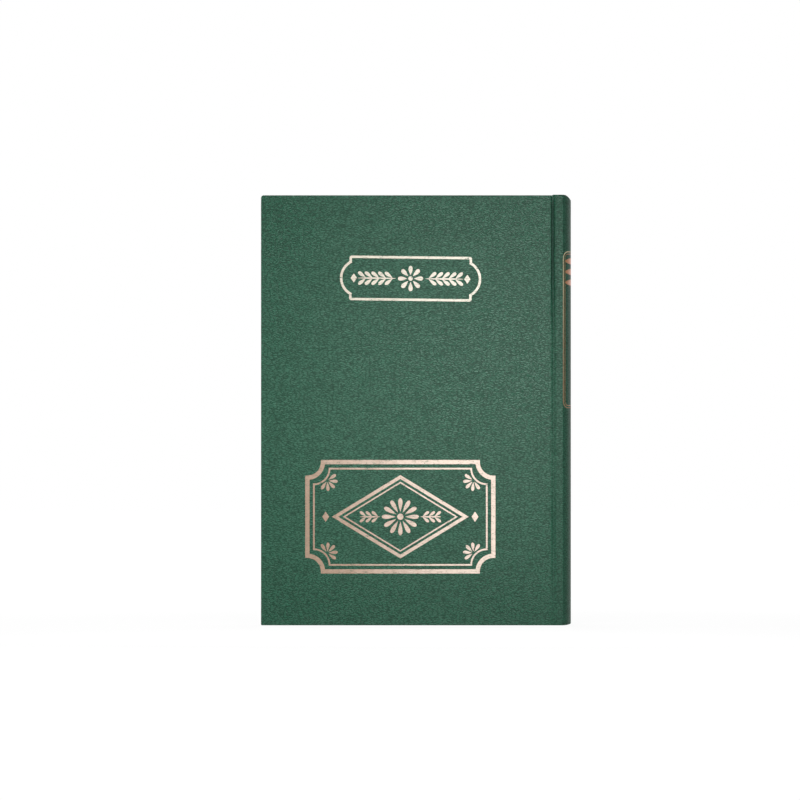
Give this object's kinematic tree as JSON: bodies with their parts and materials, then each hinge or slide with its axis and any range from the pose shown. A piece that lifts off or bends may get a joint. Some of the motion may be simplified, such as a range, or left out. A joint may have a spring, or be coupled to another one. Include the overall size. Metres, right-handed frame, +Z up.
{
  "type": "ledger book",
  "caption": "Case-bound A4 accounts ledger: leatherette boards that open on cloth joints, rounded spine, sewn and backed sections, endpapers and turning leaves.",
  "frame": {"origin": "middle of the base, on the surface the closed book stands on", "axes": "+Z up from tail to head, +X from the fore edge towards the spine, -Y out of the front cover"},
  "size_m": [0.2186, 0.025, 0.3034],
  "materials": {
    "leatherette": "fine embossed grain, low sheen",
    "greyboard": "matte",
    "spine_card": "matte",
    "kraft": "matte",
    "mull": "open weave, matte",
    "thread": "matte",
    "band": "silky",
    "endpaper": "matte",
    "ledger_paper": "matte"
  },
  "bodies": {
    "text_block": {"section_01": "ledger_paper", "section_02": "ledger_paper", "section_03": "ledger_paper", "section_04": "ledger_paper", "section_05": "ledger_paper", "section_06": "ledger_paper", "section_07": "ledger_paper", "section_08": "ledger_paper", "section_09": "ledger_paper", "section_10": "ledger_paper", "section_11": "ledger_paper", "sewing_thread_1": "thread", "sewing_thread_2": "thread", "sewing_thread_3": "thread", "sewing_thread_4": "thread", "sewing_thread_5": "thread", "mull": "mull", "kraft_lining": "kraft", "headband": "band", "tailband": "band", "spine_inlay": "spine_card", "spine_cloth": "leatherette", "front_joint_cloth": "leatherette", "front_bound_margin": "ledger_paper", "back_joint_cloth": "leatherette", "back_bound_margin": "ledger_paper"},
    "front_cover": {"front_cover_cloth": "leatherette", "front_board": "greyboard", "front_mull_wing": "mull", "front_pastedown": "endpaper"},
    "front_flyleaf_body": {"front_flyleaf": "endpaper"},
    "front_leaf_1_body": {"front_leaf_1": "ledger_paper"},
    "front_leaf_2_body": {"front_leaf_2": "ledger_paper"},
    "front_leaf_3_body": {"front_leaf_3": "ledger_paper"},
    "front_leaf_4_body": {"front_leaf_4": "ledger_paper"},
    "front_leaf_5_body": {"front_leaf_5": "ledger_paper"},
    "front_leaf_6_body": {"front_leaf_6": "ledger_paper"},
    "back_cover": {"back_cover_cloth": "leatherette", "back_board": "greyboard", "back_mull_wing": "mull", "back_pastedown": "endpaper"},
    "back_flyleaf_body": {"back_flyleaf": "endpaper"},
    "back_leaf_1_body": {"back_leaf_1": "ledger_paper"},
    "back_leaf_2_body": {"back_leaf_2": "ledger_paper"},
    "back_leaf_3_body": {"back_leaf_3": "ledger_paper"},
    "back_leaf_4_body": {"back_leaf_4": "ledger_paper"},
    "back_leaf_5_body": {"back_leaf_5": "ledger_paper"},
    "back_leaf_6_body": {"back_leaf_6": "ledger_paper"}
  },
  "joints": [
    {"name": "front_cover_hinge", "type": "hinge", "parent": "text_block", "child": "front_cover", "pos_m": [0.09655, -0.01262, 0], "axis": [0, 0, 1], "range_deg": [0, 178]},
    {"name": "front_flyleaf_turn", "type": "hinge", "parent": "text_block", "child": "front_flyleaf_body", "pos_m": [0.09655, -0.01262, 0], "axis": [0, 0, 1], "range_deg": [0, 175]},
    {"name": "front_leaf_1_turn", "type": "hinge", "parent": "text_block", "child": "front_leaf_1_body", "pos_m": [0.09655, -0.01262, 0], "axis": [0, 0, 1], "range_deg": [0, 170]},
    {"name": "front_leaf_2_turn", "type": "hinge", "parent": "text_block", "child": "front_leaf_2_body", "pos_m": [0.09655, -0.01262, 0], "axis": [0, 0, 1], "range_deg": [0, 164]},
    {"name": "front_leaf_3_turn", "type": "hinge", "parent": "text_block", "child": "front_leaf_3_body", "pos_m": [0.09655, -0.01262, 0], "axis": [0, 0, 1], "range_deg": [0, 159]},
    {"name": "front_leaf_4_turn", "type": "hinge", "parent": "text_block", "child": "front_leaf_4_body", "pos_m": [0.09655, -0.01262, 0], "axis": [0, 0, 1], "range_deg": [0, 29]},
    {"name": "front_leaf_5_turn", "type": "hinge", "parent": "text_block", "child": "front_leaf_5_body", "pos_m": [0.09655, -0.01262, 0], "axis": [0, 0, 1], "range_deg": [0, 18]},
    {"name": "front_leaf_6_turn", "type": "hinge", "parent": "text_block", "child": "front_leaf_6_body", "pos_m": [0.09655, -0.01262, 0], "axis": [0, 0, 1], "range_deg": [0, 10]},
    {"name": "back_cover_hinge", "type": "hinge", "parent": "text_block", "child": "back_cover", "pos_m": [0.09655, 0.01262, 0], "axis": [0, 0, -1], "range_deg": [0, 178]},
    {"name": "back_flyleaf_turn", "type": "hinge", "parent": "text_block", "child": "back_flyleaf_body", "pos_m": [0.09655, 0.01262, 0], "axis": [0, 0, -1], "range_deg": [0, 175]},
    {"name": "back_leaf_1_turn", "type": "hinge", "parent": "text_block", "child": "back_leaf_1_body", "pos_m": [0.09655, 0.01262, 0], "axis": [0, 0, -1], "range_deg": [0, 170]},
    {"name": "back_leaf_2_turn", "type": "hinge", "parent": "text_block", "child": "back_leaf_2_body", "pos_m": [0.09655, 0.01262, 0], "axis": [0, 0, -1], "range_deg": [0, 164]},
    {"name": "back_leaf_3_turn", "type": "hinge", "parent": "text_block", "child": "back_leaf_3_body", "pos_m": [0.09655, 0.01262, 0], "axis": [0, 0, -1], "range_deg": [0, 159]},
    {"name": "back_leaf_4_turn", "type": "hinge", "parent": "text_block", "child": "back_leaf_4_body", "pos_m": [0.09655, 0.01262, 0], "axis": [0, 0, -1], "range_deg": [0, 29]},
    {"name": "back_leaf_5_turn", "type": "hinge", "parent": "text_block", "child": "back_leaf_5_body", "pos_m": [0.09655, 0.01262, 0], "axis": [0, 0, -1], "range_deg": [0, 18]},
    {"name": "back_leaf_6_turn", "type": "hinge", "parent": "text_block", "child": "back_leaf_6_body", "pos_m": [0.09655, 0.01262, 0], "axis": [0, 0, -1], "range_deg": [0, 10]}
  ],
  "couplings": [
    {"joint": "front_flyleaf_turn", "follows": "front_cover_hinge", "ratio": 0.98},
    {"joint": "front_leaf_1_turn", "follows": "front_cover_hinge", "ratio": 0.95},
    {"joint": "front_leaf_2_turn", "follows": "front_cover_hinge", "ratio": 0.92},
    {"joint": "front_leaf_3_turn", "follows": "front_cover_hinge", "ratio": 0.89},
    {"joint": "front_leaf_4_turn", "follows": "front_cover_hinge", "ratio": 0.16},
    {"joint": "front_leaf_5_turn", "follows": "front_cover_hinge", "ratio": 0.1},
    {"joint": "front_leaf_6_turn", "follows": "front_cover_hinge", "ratio": 0.05},
    {"joint": "back_flyleaf_turn", "follows": "back_cover_hinge", "ratio": 0.98},
    {"joint": "back_leaf_1_turn", "follows": "back_cover_hinge", "ratio": 0.95},
    {"joint": "back_leaf_2_turn", "follows": "back_cover_hinge", "ratio": 0.92},
    {"joint": "back_leaf_3_turn", "follows": "back_cover_hinge", "ratio": 0.89},
    {"joint": "back_leaf_4_turn", "follows": "back_cover_hinge", "ratio": 0.16},
    {"joint": "back_leaf_5_turn", "follows": "back_cover_hinge", "ratio": 0.1},
    {"joint": "back_leaf_6_turn", "follows": "back_cover_hinge", "ratio": 0.05}
  ]
}
